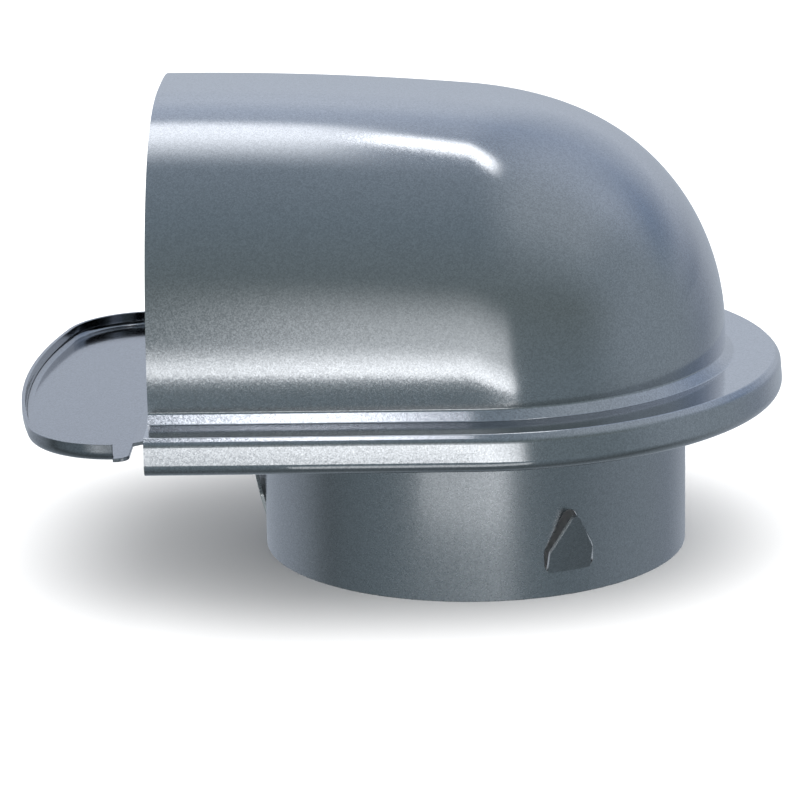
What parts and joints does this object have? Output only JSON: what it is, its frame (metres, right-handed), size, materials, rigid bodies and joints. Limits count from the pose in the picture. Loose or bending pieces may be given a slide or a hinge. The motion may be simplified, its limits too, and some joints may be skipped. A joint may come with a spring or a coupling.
{
  "type": "wall vent hood",
  "caption": "Domed sheet-metal wall vent hood with an open mouth, a long drip tongue on its wall plate and a round barbed spigot that plugs into a duct.",
  "frame": {"origin": "on the spigot's axis, in the plane of the hem that lies against the wall", "axes": "+Z out of the wall, -Z along the spigot into the duct, -X out of the mouth, Y across"},
  "size_m": [0.175, 0.1424, 0.1083],
  "materials": {
    "hood_paint": "satin metallic grey",
    "plate_paint": "satin metallic grey",
    "spigot_paint": "satin metallic grey"
  },
  "bodies": {
    "root": {"hood": "hood_paint", "wall_plate": "plate_paint", "spigot": "spigot_paint"}
  },
  "joints": []
}
